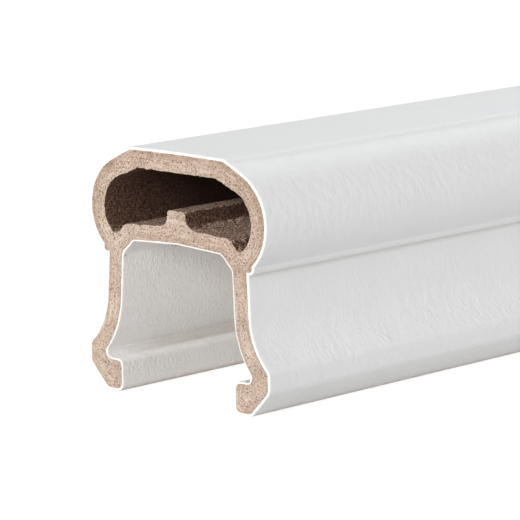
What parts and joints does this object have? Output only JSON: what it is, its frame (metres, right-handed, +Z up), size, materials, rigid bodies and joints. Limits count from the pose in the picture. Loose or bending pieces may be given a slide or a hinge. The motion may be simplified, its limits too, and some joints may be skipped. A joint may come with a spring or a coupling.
{
  "type": "deck rail",
  "caption": "Length of hollow composite deck top rail: a rounded crown over two flared legs with an open channel between them, white cap over a tan core.",
  "frame": {"origin": "middle of the rail's length and width, on the plane that its two feet stand on", "axes": "+X along the rail, +Y across it, +Z up from the feet to the crown"},
  "size_m": [1.8288, 0.0888, 0.0902],
  "materials": {
    "composite_core": "tan wood-plastic composite, saw-cut at the ends, darker and rough inside the chamber",
    "white_cap": "off-white satin polymer cap with a fine embossed wrinkle grain"
  },
  "bodies": {
    "root": {"wood_composite_core": "composite_core", "cap_layer": "white_cap"}
  },
  "joints": []
}
